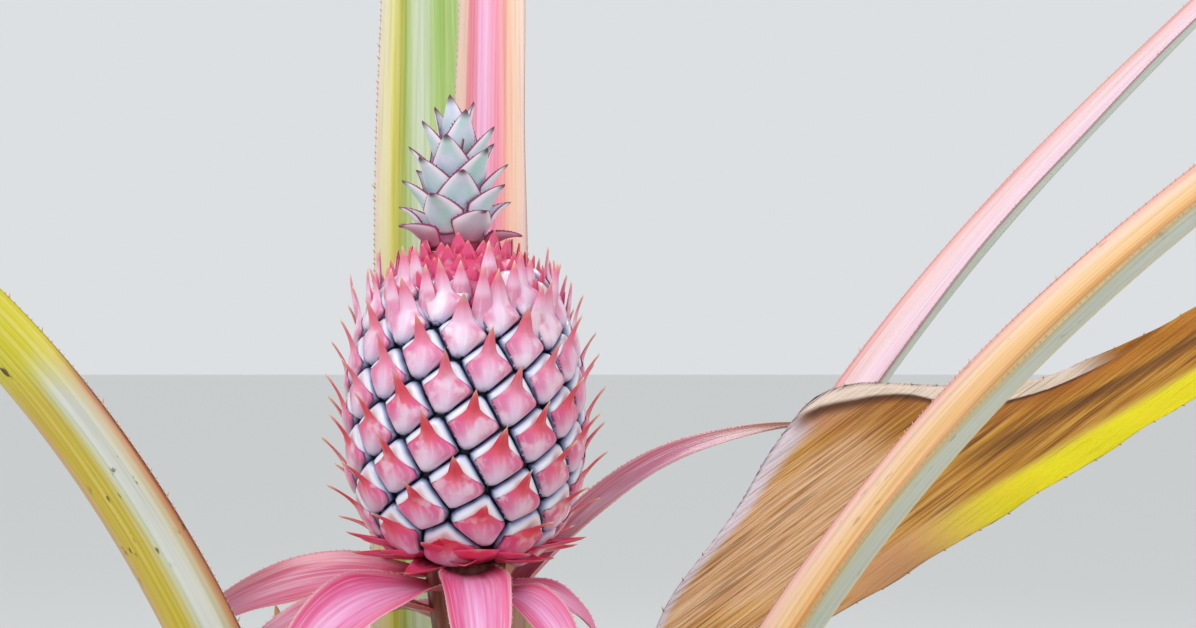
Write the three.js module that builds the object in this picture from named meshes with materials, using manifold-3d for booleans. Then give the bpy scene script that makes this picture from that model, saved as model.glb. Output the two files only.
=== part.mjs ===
// A fruiting pineapple plant, built as it grows: a short stem, a spiral rosette of channelled leaves,
// a stalk with a collar of leafy bracts, and a young fruit under its crown.
// Millimetres, +Z up. The origin is on the ground, at the centre of the stem's flat foot. -Y is the front.
import * as THREE from "three";
import { ConvexHull } from "three/addons/math/ConvexHull.js";
import { mergeVertices } from "three/addons/utils/BufferGeometryUtils.js";
import Module from "manifold-3d";

const wasm = await Module();
wasm.setup();

const DEG = Math.PI / 180;
const GOLDEN_ANGLE = 137.508;
// Pieces that meet stay this far apart.
const GAP = 0.4;
// Joined shapes may lose detail finer than this.
const SIMPLE_ENOUGH = 0.2;

// The stem, and the stalk that carries the fruit
const STEM_HEIGHT = 200;
const STEM_RADIUS = 34;
const STEM_TOP_RADIUS = 13;
const STEM_SHOULDER = 105;
const FOOT_FLARE = 6;
const FOOT_HEIGHT = 22;
const STALK_RADIUS = 10.5;
const STALK_HEAD_RADIUS = 15;
const STALK_FLARE = 45;
const STALK_TAPER = 40;

// The fruit, from the flat of its base to the foot of the crown
const FRUIT_BASE = 430;
const FRUIT_HEIGHT = 114;
const FRUIT_RADIUS = 43.5;
const FRUIT_WAIST = 50;
const FRUIT_LOWER_REACH = 56;
const FRUIT_UPPER_REACH = 68;
const FRUIT_SQUARENESS = 2.4;
const FRUIT_END_RADIUS = 12;
// The fruitlets: the patch of skin that one has at the waist, how much less the last has, how deep the
// grooves between them are, and where their spiral starts
const EYE_AREA = 294;
const EYE_TOP_SHRINK = 0.5;
const EYE_GROOVE = 4.2;
const EYE_FIRST_HEIGHT = 5.5;
const EYE_LAST_HEIGHT = 109;
const EYE_SPIRAL_START = 346;
// How far out of a fruitlet its flat top reaches
const EYE_FLAT = 0.68;
// A fruitlet's bract: how far its point stands off the skin, and how far up it reaches
const BRACT_STAND_OFF = 8.5;
const BRACT_REACH = 14.5;

// The crown of small leaves on top
const CROWN_HEIGHT = 55;
const CROWN_LEAVES = 28;
const CROWN_START = -7;
const CROWN_CORE_RADIUS = 12;
// The crown sits a little to the left of the fruit's middle.
const CROWN_SHIFT = -3.5;

// The rosette. Leaf 0 is the lowest and oldest, and the last is the youngest, beside the stalk.
const LEAF_COUNT = 34;
const LEAF_FIRST_HEIGHT = 24;
const LEAF_LAST_HEIGHT = 182;
const LEAF_SPIRAL_START = 93 - 20 * GOLDEN_ANGLE;
const LEAF_FIRST_LENGTH = 520;
const LEAF_FULL_LENGTH = 800;
const LEAF_STEPS = 9;
const LEAF_THICKNESS_SHARE = 0.01;
// A leaf longer than this that bends by more than this is made in pieces that meet at its bend.
const SPLIT_LENGTH = 500;
const SPLIT_BEND = 45;
const PIECE_ENDINGS = [[], [""], ["_lower", "_upper"], ["_lower", "_middle", "_upper"]];
const FRONT = -90;

// Leaves that grow apart from the rosette's rule. Angles are in degrees: `lean` from the upright at the
// base, `bend` added along the way, `droop` added near the tip, `heading` round the stem from +X.
// `bendAt`, `bendSpan`, `widenBy` and `rollBy` are shares of the length, `channel` is half the angle of
// the leaf's hollow, `roll` turns the blade on itself, and `cuts` are shares where pieces meet.
const LEAF_CHANGES = {
  // The two tall leaves behind the fruit
  20: {
    lean: 11, bend: 2, length: 900, heading: 97, sway: 0,
    width: 72, channel: 0.6, steps: 12, tone: "golden",
  },
  33: {
    lean: 12, bend: -9, bendAt: 0.3, bendSpan: 0.5, length: 760, heading: 84, sway: 0,
    width: 43, channel: 1.2, steps: 12, tone: "rosy",
  },
  // The leaf that arches over on the left
  26: {
    lean: 15.4, bend: 54.8, bendAt: 0.511, bendSpan: 0.816, droop: 54, length: 830, heading: 192, sway: 0,
    width: 57, roll: 23.5, rollBy: 0.35, cuts: [0.43, 0.72], steps: 14, tone: "golden",
  },
  // The two leaves that sweep out on the right
  27: {
    lean: 17.1, bend: 40.4, bendAt: 0.374, bendSpan: 0.758, length: 860, heading: 347.6, sway: 0,
    width: 48, roll: 20, rollBy: 0.3, cuts: [0.43], steps: 14, tone: "rosy",
  },
  30: {
    lean: 16, bend: 35, bendAt: 0.324, bendSpan: 0.79, length: 820, heading: 30, sway: 0,
    width: 34, baseWidth: 22, widenBy: 0.45, cuts: [0.43], steps: 14, tone: "rosy",
  },
  // The dried leaf: folded narrow below, then flat, turned on itself and creased, with a flap at the crease
  22: {
    lean: 12.9, bend: 48.3, bendAt: 0.401, bendSpan: 0.09, length: 700, heading: 5, sway: 0,
    width: 44, baseWidth: 20, widenBy: 0.44, channel: 0.4, roll: 80, rollBy: 0.42,
    flap: 36, flapAt: 0.513, flapSpan: 0.07, steps: 18, tone: "dried",
  },
  // Leaves that lie lower or stand apart from their neighbours, and one whose tip stays off the ground
  1: { bend: 46 },
  15: { lean: 56 },
  17: { lean: 62 },
  18: { lean: 46 },
  23: { heading: 156 },
  25: { heading: 49 },
  28: { lean: 9, bend: 10, heading: 121 },
  29: { heading: 261 },
  31: { lean: 10, bend: 10, heading: 168, baseWidth: 28 },
};

// The leafy bracts that spread from the stalk's head. The second hangs to the front, the third to the
// right and the fourth to the left, and the sixth is the long one that rises behind the fruit.
const COLLAR = [
  { heading: -135, height: 420, lean: 84, bend: 64, length: 98, width: 30, roll: -38 },
  { heading: -82, height: 426, lean: 86, bend: 84, length: 90, width: 28, roll: 0 },
  { heading: -52, height: 418, lean: 80, bend: 80, length: 82, width: 18, roll: 30 },
  { heading: 168, height: 424, lean: 88, bend: 32, length: 110, width: 24, roll: -58 },
  { heading: -168, height: 411, lean: 74, bend: 52, length: 80, width: 14, roll: -40 },
  { heading: 38, height: 404, lean: 46, bend: 42, length: 190, width: 16, roll: 24 },
  { heading: -8, height: 420, lean: 84, bend: 60, length: 46, width: 16, roll: 20 },
  { heading: 100, height: 416, lean: 60, bend: 60, length: 40, width: 18, roll: 0 },
  { heading: 132, height: 406, lean: 76, bend: 50, length: 66, width: 17, roll: 0 },
];

// Daylight colours
const finish = (color, roughness) => new THREE.MeshStandardMaterial({ color, roughness, metalness: 0 });
const FINISHES = {
  stem: finish(0x8d7f58, 0.8),
  stalk: finish(0x9a5a4e, 0.6),
  fruit: finish(0xd8607c, 0.45),
  crown: finish(0x9fb0ad, 0.6),
  collar: finish(0xe0608a, 0.5),
  green: finish(0x8fa56a, 0.55),
  golden: finish(0xc9b45a, 0.55),
  rosy: finish(0xd99a86, 0.55),
  dried: finish(0xa8713a, 0.8),
};

const mix = (a, b, t) => a + (b - a) * t;
const smoothstep = (x) => {
  const t = Math.min(1, Math.max(0, x));
  return t * t * (3 - 2 * t);
};
const even = (low, high, count) => Array.from({ length: count + 1 }, (_, i) => mix(low, high, i / count));

// Geometry from points and the corners of its faces
function meshOf(points, corners) {
  return new THREE.BufferGeometry().setFromPoints(points).setIndex(corners.flat());
}

// A closed mesh as a solid that can be joined and cut
function solidOf(geometry) {
  const bare = geometry.clone();
  bare.deleteAttribute("normal");
  bare.deleteAttribute("uv");
  const merged = mergeVertices(bare, 1e-4);
  return new wasm.Manifold(
    new wasm.Mesh({
      numProp: 3,
      vertProperties: new Float32Array(merged.attributes.position.array),
      triVerts: new Uint32Array(merged.index.array),
    }),
  );
}

// The largest body of a solid, as geometry
function geometryOf(solid) {
  const [largest] = solid.decompose().sort((a, b) => b.volume() - a.volume());
  const mesh = largest.getMesh();
  return new THREE.BufferGeometry()
    .setAttribute("position", new THREE.BufferAttribute(new Float32Array(mesh.vertProperties), 3))
    .setIndex(new THREE.BufferAttribute(new Uint32Array(mesh.triVerts), 1));
}

// A turned solid, from its radius at each height
function turned(heights, radiusAt, sides) {
  const profile = [
    new THREE.Vector2(0, heights[0]),
    ...heights.map((z) => new THREE.Vector2(radiusAt(z), z)),
    new THREE.Vector2(0, heights.at(-1)),
  ];
  return new THREE.LatheGeometry(profile, sides).rotateX(Math.PI / 2);
}

// The stem's radius at a height: flared at the foot, straight, then narrowing to the stalk
function stemRadius(z) {
  const flare = FOOT_FLARE * Math.max(0, 1 - z / FOOT_HEIGHT) ** 2;
  const shoulder = smoothstep((z - STEM_SHOULDER) / (STEM_HEIGHT - STEM_SHOULDER));
  return mix(STEM_RADIUS, STEM_TOP_RADIUS, shoulder) + flare;
}

function stemGeometry(extra) {
  const heights = [...even(0, FOOT_HEIGHT, 2), ...even(STEM_SHOULDER, STEM_HEIGHT, 4)];
  return turned(heights, (z) => stemRadius(z) + extra, 24);
}

// The stalk starts as wide as the stem's top and widens again under the fruit.
function stalkRadius(z) {
  const head = smoothstep((z - FRUIT_BASE) / STALK_FLARE + 1);
  const foot = 1 - smoothstep((z - STEM_HEIGHT) / STALK_TAPER);
  return STALK_RADIUS + (STALK_HEAD_RADIUS - STALK_RADIUS) * head + (STEM_TOP_RADIUS - STALK_RADIUS) * foot;
}

function stalkGeometry(extra) {
  const lower = even(STEM_HEIGHT + GAP, STEM_HEIGHT + STALK_TAPER, 2);
  const upper = even(FRUIT_BASE - STALK_FLARE, FRUIT_BASE - GAP, 3);
  return turned([...lower, ...upper], (z) => stalkRadius(z) + extra, 16);
}

// The direction of a blade that leans from the upright towards a heading
function direction(lean, heading) {
  return new THREE.Vector3(
    Math.sin(lean * DEG) * Math.cos(heading * DEG),
    Math.sin(lean * DEG) * Math.sin(heading * DEG),
    Math.cos(lean * DEG),
  );
}

// Where a ring's points lie from one margin, 1, to the other, -1: along its upper side, and back below
const WIDE_RING = [[1, 0.5, 0, -0.5, -1], [-0.55, 0, 0.55]];
const SMALL_RING = [[1, 0, -1], [0]];

// The rings of a curved blade and its tip. At share t of the length, shape(t) gives the lean, heading and
// roll, the half width, the channel's half angle and the thickness at the keel. The channel is an arc that
// opens towards the axis, and a flap widens its first half. A ring runs across the upper side at `across`
// and back below at `under`.
function bladeRings(start, length, shape, count, across, under) {
  const rings = [];
  const keel = start.clone();
  for (let k = 0; k < count; k++) {
    const at = shape(k / count);
    const along = direction(at.lean, at.heading);
    const side = new THREE.Vector3(-Math.sin(at.heading * DEG), Math.cos(at.heading * DEG), 0);
    side.applyAxisAngle(along, at.roll * DEG);
    const inward = new THREE.Vector3().crossVectors(along, side);
    const radius = at.halfWidth / at.channel;
    const flap = at.flap ?? 0;
    const place = (u, depth) =>
      keel
        .clone()
        .addScaledVector(side, (radius + depth) * Math.sin(at.channel * u) + flap * Math.max(0, u) ** 2)
        .addScaledVector(inward, radius - (radius + depth) * Math.cos(at.channel * u));
    const upper = across.map((u) => place(u, 0));
    const lower = under.map((u) => place(u, at.thickness * (1 - u * u)));
    rings.push([...upper, ...lower]);
    const middle = shape((k + 0.5) / count);
    keel.addScaledVector(direction(middle.lean, middle.heading), length / count);
  }
  return { rings, tip: keel };
}

// The faces that close a ring: a strip between its upper side and its lower one, which share the margins
function capFaces(count, upperCount) {
  const upper = Array.from({ length: upperCount }, (_, i) => i);
  const lower = [0, ...Array.from({ length: count - upperCount }, (_, i) => count - 1 - i), upperCount - 1];
  const faces = [];
  let a = 0;
  let b = 0;
  while (a + 1 < upper.length || b + 1 < lower.length) {
    const upperIsNext = (a + 1) / (upper.length - 1) <= (b + 1) / (lower.length - 1);
    faces.push([upper[a], lower[b], upperIsNext ? upper[a + 1] : lower[b + 1]]);
    a += upperIsNext ? 1 : 0;
    b += upperIsNext ? 0 : 1;
  }
  return faces.filter((face) => new Set(face).size === 3);
}

// A closed strip of rings. It starts with a cap, and ends with a point or, without one, with another cap.
function ribbonGeometry(rings, upperCount, tip) {
  const count = rings[0].length;
  const last = (rings.length - 1) * count;
  const cap = capFaces(count, upperCount);
  const faces = [...cap];
  for (let start = 0; start < last; start += count) {
    for (let i = 0; i < count; i++) {
      const a = start + i;
      const b = start + ((i + 1) % count);
      faces.push([a, b, b + count], [a, b + count, a + count]);
    }
  }
  if (!tip) {
    faces.push(...cap.map((face) => face.map((i) => last + i).reverse()));
    return meshOf(rings.flat(), faces);
  }
  for (let i = 0; i < count; i++) {
    faces.push([last + i, last + ((i + 1) % count), rings.length * count]);
  }
  return meshOf([...rings.flat(), tip], faces);
}

// A blade with a point at its tip
function bladeGeometry(start, length, shape, count, [across, under]) {
  const { rings, tip } = bladeRings(start, length, shape, count, across, under);
  return ribbonGeometry(rings, across.length, tip);
}

// The fruit's radius: two squared half ovals that meet at the waist
function fruitRadius(z) {
  const reach = z < FRUIT_WAIST ? FRUIT_LOWER_REACH : FRUIT_UPPER_REACH;
  return FRUIT_RADIUS * Math.sqrt(Math.max(0, 1 - (Math.abs(z - FRUIT_WAIST) / reach) ** FRUIT_SQUARENESS));
}

// The fruitlets, each a golden angle on from the last and far enough up to have its patch of skin
function eyePlaces() {
  const eyes = [];
  const step = 0.05;
  let share = 1;
  for (let z = EYE_FIRST_HEIGHT; z < EYE_LAST_HEIGHT; z += step) {
    const slope = (fruitRadius(z + step) - fruitRadius(z)) / step;
    const height = z / FRUIT_HEIGHT;
    const area = EYE_AREA * (1 - EYE_TOP_SHRINK * height ** 2.5);
    if (share >= 1) {
      const heading = EYE_SPIRAL_START + eyes.length * GOLDEN_ANGLE;
      eyes.push({ z, heading, slope, height, size: Math.sqrt(area / EYE_AREA) });
      share -= 1;
    }
    share += (2 * Math.PI * fruitRadius(z) * Math.hypot(1, slope) * step) / area;
  }
  return eyes;
}

// Places near a fruitlet: outwards from the skin, up along it, and round the fruit
function eyeFrame(eye) {
  const radial = direction(90, eye.heading).setZ(0);
  const up = radial.clone().multiplyScalar(eye.slope).setZ(1).normalize();
  const round = new THREE.Vector3(-radial.y, radial.x, 0);
  const out = new THREE.Vector3().crossVectors(round, up);
  const centre = radial.multiplyScalar(fruitRadius(eye.z)).setZ(FRUIT_BASE + eye.z);
  return (o, u, r) => centre.clone().addScaledVector(out, o).addScaledVector(up, u).addScaledVector(round, r);
}

// The fruit's skin. Where three fruitlets meet, the groove is deepest; each fruitlet stands between those
// places with a flat top. The hull of their centres tells which ones meet.
function skinGeometry(eyes) {
  const outward = new Map();
  for (const eye of eyes) {
    const centre = eyeFrame(eye)(0, 0, 0);
    outward.set(centre, eyeFrame(eye)(1, 0, 0).sub(centre));
  }
  for (const end of [-1, 1]) {
    for (const turn of even(0, 300, 5)) {
      const rim = direction(90, turn).multiplyScalar(FRUIT_END_RADIUS);
      outward.set(rim.setZ(FRUIT_BASE + (end > 0 ? FRUIT_HEIGHT : 0)), new THREE.Vector3(0, 0, end));
    }
  }
  const hull = new ConvexHull().setFromPoints([...outward.keys()]);
  const groove = (face) => {
    const points = [face.edge, face.edge.next, face.edge.prev].map((edge) => edge.head().point);
    const middle = new THREE.Vector3().add(points[0]).add(points[1]).add(points[2]).divideScalar(3);
    return middle.addScaledVector(face.normal, -EYE_GROOVE);
  };
  const points = [];
  for (const face of hull.faces) {
    for (const edge of [face.edge, face.edge.next, face.edge.prev]) {
      const centre = edge.tail().point;
      const left = groove(face);
      const right = groove(edge.twin.face);
      const shoulder = (corner) => {
        const reach = corner.clone().sub(centre).projectOnPlane(outward.get(centre));
        return centre.clone().addScaledVector(reach, EYE_FLAT);
      };
      const leftShoulder = shoulder(left);
      const rightShoulder = shoulder(right);
      points.push(centre, rightShoulder, leftShoulder);
      points.push(rightShoulder, right, left);
      points.push(rightShoulder, left, leftShoulder);
    }
  }
  return meshOf(points, [points.map((_, i) => i)]);
}

// A fruitlet's bract: a pointed blade from the dome's lower half, standing off at its tip
function bractGeometry(eye) {
  const at = eyeFrame(eye);
  const long = eye.size * mix(1, 1.3, smoothstep((eye.height - 0.6) / 0.4));
  const ring = (out, up, half, depth) => [at(out, up, -half), at(out, up, half), at(out - depth, up - 1, 0)];
  const rings = [ring(-2.4, -5.5 * eye.size, 3.9 * eye.size, 2.4), ring(2.4, 4 * long, 2.6 * eye.size, 2.4)];
  return ribbonGeometry(rings, 2, at(BRACT_STAND_OFF, BRACT_REACH * long, 0));
}

function fruitGeometry() {
  const eyes = eyePlaces();
  const solids = [skinGeometry(eyes), ...eyes.map(bractGeometry)].map(solidOf);
  return geometryOf(wasm.Manifold.union(solids).simplify(SIMPLE_ENOUGH));
}

// The crown: short pointed leaves on a core, the lowest spread out and the last ones upright
function crownGeometry() {
  const base = FRUIT_BASE + FRUIT_HEIGHT + GAP;
  const coreRadius = (z) => mix(CROWN_CORE_RADIUS, 3, (z - base) / CROWN_HEIGHT);
  const core = turned([base, base + 0.7 * CROWN_HEIGHT], coreRadius, 8);
  const leaves = even(0, 1, CROWN_LEAVES - 1).map((t, k) => {
    const heading = CROWN_START - k * GOLDEN_ANGLE;
    const shape = (s) => ({
      lean: 7 + 26 * (1 - t ** 5) + 38 * (1 - t) ** 7 + 56 * (1 - t) * (s - 0.5),
      heading,
      roll: 0,
      halfWidth: mix(9.2, 8.6, t) * Math.min(mix(0.62, 1, smoothstep(s / 0.4)), ((1 - s) / 0.6) ** 0.85),
      channel: 0.75,
      thickness: 1.2,
    });
    const foot = mix(base + 0.5, base + 0.56 * CROWN_HEIGHT, t ** 1.1);
    const start = direction(90, heading).multiplyScalar(mix(CROWN_CORE_RADIUS - 1, 1, t ** 1.5)).setZ(foot);
    return bladeGeometry(start, mix(15.5, 27, t ** 0.8), shape, 3, SMALL_RING);
  });
  const crown = wasm.Manifold.union([core, ...leaves].map(solidOf)).simplify(SIMPLE_ENOUGH);
  return geometryOf(crown).translate(CROWN_SHIFT, 0, 0);
}

// Where a leaf of the rosette starts and how it grows. The youngest are still short, and leaves on the open
// front side lie lower.
function leafRule(n) {
  const youth = n / (LEAF_COUNT - 1);
  const heading = LEAF_SPIRAL_START + n * GOLDEN_ANGLE;
  const open = youth * Math.max(0, Math.cos((heading - FRONT) * DEG)) ** 2;
  const grown = mix(LEAF_FIRST_LENGTH, LEAF_FULL_LENGTH, smoothstep(youth / 0.4));
  const length = grown * mix(1, 0.22, smoothstep((youth - 0.45) / 0.3));
  return {
    heading,
    height: mix(LEAF_FIRST_HEIGHT, LEAF_LAST_HEIGHT, youth),
    length,
    lean: 8 + 62 * (1 - youth) + 10 * open,
    bend: 34 + 26 * Math.sin(n * 1.7) + 30 * open,
    droop: 0,
    bendAt: 0.55,
    bendSpan: 0.9,
    width: mix(28, 58, smoothstep(length / 700)),
    baseWidth: 40,
    widenBy: 0.22,
    channel: 1,
    roll: 0,
    rollBy: 1,
    flap: 0,
    flapAt: 0.5,
    flapSpan: 0.1,
    sway: 8 * Math.sin(n * 2.3),
    steps: LEAF_STEPS,
    tone: "green",
    ...LEAF_CHANGES[n],
  };
}

function leafShape(rule) {
  const clasp = stemRadius(rule.height) + 2;
  const baseHalf = Math.min(rule.baseWidth, 0.84 * rule.width) / 2;
  return (t) => {
    const bent = smoothstep((t - rule.bendAt) / rule.bendSpan + 0.5);
    const widening = smoothstep(t / rule.widenBy);
    return {
      lean: rule.lean + rule.bend * bent + rule.droop * t ** 4,
      heading: rule.heading + rule.sway * t,
      roll: rule.roll * smoothstep(t / rule.rollBy),
      halfWidth: mix(baseHalf, rule.width / 2, widening) * (1 - t ** 3.2),
      channel: mix(baseHalf / clasp, rule.channel, widening),
      thickness: LEAF_THICKNESS_SHARE * rule.length * mix(0.55, 1, widening) * (1 - 0.6 * t),
      flap: rule.flap * Math.exp(-(((t - rule.flapAt) / rule.flapSpan) ** 2)),
    };
  };
}

// A leaf as one piece, or as more where it bends far
function leafPieces(rule, stem) {
  const [across, under] = WIDE_RING;
  const inset = 1 + 8 * Math.sin(rule.lean * DEG);
  const start = direction(90, rule.heading).multiplyScalar(stemRadius(rule.height) - inset).setZ(rule.height);
  const { rings, tip } = bladeRings(start, rule.length, leafShape(rule), rule.steps, across, under);
  const bendsFar = rule.length > SPLIT_LENGTH && rule.bend + rule.droop > SPLIT_BEND;
  const cuts = rule.cuts ?? (bendsFar ? [rule.bendAt] : []);
  const ends = [0, ...cuts.map((t) => Math.round(t * rule.steps)), rule.steps];
  return ends.slice(1).map((end, i) => {
    const piece = rings.slice(ends[i], end + 1);
    if (i > 0) {
      const onward = piece[1][0].clone().sub(piece[0][0]).setLength(GAP);
      piece[0] = piece[0].map((p) => p.clone().add(onward));
    }
    const ribbon = ribbonGeometry(piece, across.length, end === rule.steps ? tip : undefined);
    return geometryOf(solidOf(ribbon).subtract(stem));
  });
}

// A bract of the collar: narrow where it joins the stalk, widest at a third, arching down
function collarGeometry(bract, stalk) {
  const shape = (t) => ({
    lean: bract.lean + bract.bend * smoothstep(t),
    heading: bract.heading,
    roll: bract.roll * smoothstep(t / 0.6),
    halfWidth: 0.5 * bract.width * mix(0.7, 1, smoothstep(t / 0.35)) * (1 - t ** 2.8),
    channel: 0.55,
    thickness: Math.max(1.2, 0.012 * bract.length) * (1 - 0.5 * t),
  });
  const start = direction(90, bract.heading).multiplyScalar(stalkRadius(bract.height) - 4).setZ(bract.height);
  return geometryOf(solidOf(bladeGeometry(start, bract.length, shape, 6, WIDE_RING)).subtract(stalk));
}

const plant = new THREE.Group();
function add(name, geometry, material) {
  const mesh = new THREE.Mesh(geometry, material);
  mesh.name = name;
  plant.add(mesh);
}

add("stem", stemGeometry(0), FINISHES.stem);
add("stalk", stalkGeometry(0), FINISHES.stalk);
add("fruit", fruitGeometry(), FINISHES.fruit);
add("crown", crownGeometry(), FINISHES.crown);
const widerStalk = solidOf(stalkGeometry(GAP));
COLLAR.forEach((bract, i) => {
  add(`collar_bract_${i + 1}`, collarGeometry(bract, widerStalk), FINISHES.collar);
});
const widerStem = solidOf(stemGeometry(GAP));
for (let n = 0; n < LEAF_COUNT; n++) {
  const rule = leafRule(n);
  const pieces = leafPieces(rule, widerStem);
  pieces.forEach((piece, i) => {
    const name = `${rule.tone === "dried" ? "dried_" : ""}leaf_${n + 1}${PIECE_ENDINGS[pieces.length][i]}`;
    add(name, piece, FINISHES[rule.tone]);
  });
}

export default plant;
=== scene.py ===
"""A fruiting pineapple plant, dressed: leaves with spined margins, a collar of bracts, fruit and crown.

Shapes are worked out in millimetres and angles in degrees, and meshes are made in metres.
"""
import math

import bpy
import numpy as np
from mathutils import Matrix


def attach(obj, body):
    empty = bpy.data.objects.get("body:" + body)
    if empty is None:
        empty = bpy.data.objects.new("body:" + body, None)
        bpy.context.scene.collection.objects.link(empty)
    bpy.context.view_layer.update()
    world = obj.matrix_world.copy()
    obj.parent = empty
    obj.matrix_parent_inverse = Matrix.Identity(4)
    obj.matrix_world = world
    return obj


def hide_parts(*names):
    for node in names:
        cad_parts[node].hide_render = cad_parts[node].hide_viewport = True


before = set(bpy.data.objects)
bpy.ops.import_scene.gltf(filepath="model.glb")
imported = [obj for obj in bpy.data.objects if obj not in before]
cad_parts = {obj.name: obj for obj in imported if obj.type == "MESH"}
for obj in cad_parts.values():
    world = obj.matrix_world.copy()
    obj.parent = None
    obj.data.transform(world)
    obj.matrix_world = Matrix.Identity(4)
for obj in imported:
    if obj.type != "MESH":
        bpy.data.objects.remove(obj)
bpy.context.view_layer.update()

MM = 0.001
GOLDEN_ANGLE = 137.508

# The stem, and the stalk that carries the fruit
STEM_HEIGHT = 200
STEM_RADIUS = 34
STEM_TOP_RADIUS = 13
STEM_SHOULDER = 105
FOOT_FLARE = 6
FOOT_HEIGHT = 22
STALK_RADIUS = 10.5
STALK_HEAD_RADIUS = 15
STALK_FLARE = 45
STALK_TAPER = 40
SCAR_PITCH = 9
SCAR_DEPTH = 0.8
BARK_RIDGE = 0.4
STALK_RIDGE = 0.3
# The gap between the stem, the stalk, the fruit and the crown
GAP = 0.4

# The fruit and its fruitlets
FRUIT_BASE = 430
FRUIT_HEIGHT = 114
FRUIT_RADIUS = 43.5
FRUIT_WAIST = 50
FRUIT_LOWER_REACH = 56
FRUIT_UPPER_REACH = 68
FRUIT_SQUARENESS = 2.4
EYE_AREA = 294
EYE_TOP_SHRINK = 0.5
EYE_FIRST_HEIGHT = 5.5
EYE_LAST_OPEN = 101
EYE_SPIRAL_START = 346
GROOVE_DEPTH = 4.2
GROOVE_HALF_WIDTH = 0.02
EYE_ROUNDNESS = 13
EYE_CORNER_SHARPNESS = 18
DOME_RISE = 1
BRACT_STAND_OFF = 8.5
BRACT_REACH = 14.5
BRACT_COVER = 0.95
BRACT_SWAY = 1.6
BRACT_ROWS = 20
# How far up the fruit its bracts turn from rosy to blushed, and from blushed to pale
BRACT_ZONES = (0.52, 0.72)
CAP_FOOT = 94
CAP_INSET = 1.6
RUFF_ROWS = 14
# The rings of bracts round the fruit: each one's name and count, the heights, radii and leans of its first
# bract and its last, its bracts' length and width, and where it starts
RUFFS = [
    ("rim", 30, (81, 98), (38.5, 29.5), (14, 4), 23, 9.5, 40),
    ("heart", 90, (88, 111), (35.5, 14.5), (15, 8), 13, 9.5, 95),
    ("skirt", 19, (3.5, 0.5), (16, 12), (80, 100), 31, 18, 200),
    ("skirt", 2, (0.5, 0.5), (16, 16), (80, 80), 27, 30, -80),
]

# The crown
CROWN_HEIGHT = 55
CROWN_LEAVES = 28
CROWN_START = -7
CROWN_CORE_RADIUS = 12
CROWN_SHIFT = -3.5
CROWN_ROWS = 20
CROWN_LENGTHS = (15.5, 27)
CROWN_HALF_WIDTHS = (9.2, 8.6)
CROWN_SPINE_PITCH = 1.6
CROWN_SPINE_LENGTH = 0.5

# The rosette
LEAF_COUNT = 34
LEAF_FIRST_HEIGHT = 24
LEAF_LAST_HEIGHT = 182
LEAF_SPIRAL_START = 93 - 20 * GOLDEN_ANGLE
LEAF_FIRST_LENGTH = 520
LEAF_FULL_LENGTH = 800
LEAF_KEEL = 0.0035
FRONT = -90
SPINE_PITCH = 2.7
SPINE_LENGTH = 0.85
LONG_SPINE_SHARE = 0.08
SPINELESS_SHARE = 0.12
LEAF_ROW = 6
# The length along a leaf or a collar bract that its map counts as 1
MAP_UNIT = 50

# How the leaves that stand apart grow. The dried leaf is number 23, which is 22 when counted from 0.
LEAF_CHANGES = {
    1: dict(bend=46),
    15: dict(lean=56),
    17: dict(lean=62),
    18: dict(lean=46),
    20: dict(lean=11, bend=2, length=900, heading=97, sway=0, width=72, channel=0.6, tone="tall gold"),
    22: dict(lean=12.9, bend=48.3, bend_at=0.401, bend_span=0.09, length=700, heading=5, sway=0, width=44,
             base_width=20, widen_by=0.44, channel=0.4, roll=80, roll_by=0.42, flap=36, flap_at=0.513,
             flap_span=0.07, tone="dried"),
    23: dict(heading=156),
    25: dict(heading=49),
    26: dict(lean=15.4, bend=54.8, bend_at=0.511, bend_span=0.816, droop=54, length=830, heading=192, sway=0,
             width=57, roll=23.5, roll_by=0.35, tone="arching gold"),
    27: dict(lean=17.1, bend=40.4, bend_at=0.374, bend_span=0.758, length=860, heading=347.6, sway=0,
             width=48, roll=20, roll_by=0.3, tone="peach"),
    28: dict(lean=9, bend=10, heading=121),
    29: dict(heading=261),
    30: dict(lean=16, bend=35, bend_at=0.324, bend_span=0.79, length=820, heading=30, sway=0, width=34,
             base_width=22, widen_by=0.45, tone="pink"),
    31: dict(lean=10, bend=10, heading=168, base_width=28),
    33: dict(lean=12, bend=-9, bend_at=0.3, bend_span=0.5, length=760, heading=84, sway=0, width=43,
             channel=1.2, tone="tall rose"),
}
# How many solids stand for each leaf that bends far
LEAF_PIECES = {2: 2, 5: 2, 6: 2, 9: 2, 13: 2, 17: 2, 20: 2, 23: 2, 27: 3, 28: 2, 31: 2}
PIECE_ENDINGS = {1: [""], 2: ["_lower", "_upper"], 3: ["_lower", "_middle", "_upper"]}

# The bracts of the collar
COLLAR_ROW = 2
COLLAR_SPINE_PITCH = 2.6
COLLAR_SPINE_LENGTH = 0.7
COLLAR = [
    dict(heading=-135, height=420, lean=84, bend=64, length=98, width=30, roll=-38),
    dict(heading=-82, height=426, lean=86, bend=84, length=90, width=28, roll=0),
    dict(heading=-52, height=418, lean=80, bend=80, length=82, width=18, roll=30),
    dict(heading=168, height=424, lean=88, bend=32, length=110, width=24, roll=-58, tone="dusky"),
    dict(heading=-168, height=411, lean=74, bend=52, length=80, width=14, roll=-40, tone="dusky"),
    dict(heading=38, height=404, lean=46, bend=42, length=190, width=16, roll=24, tone="long"),
    dict(heading=-8, height=420, lean=84, bend=60, length=46, width=16, roll=20),
    dict(heading=100, height=416, lean=60, bend=60, length=40, width=18, roll=0),
    dict(heading=132, height=406, lean=76, bend=50, length=66, width=17, roll=0),
]

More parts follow.
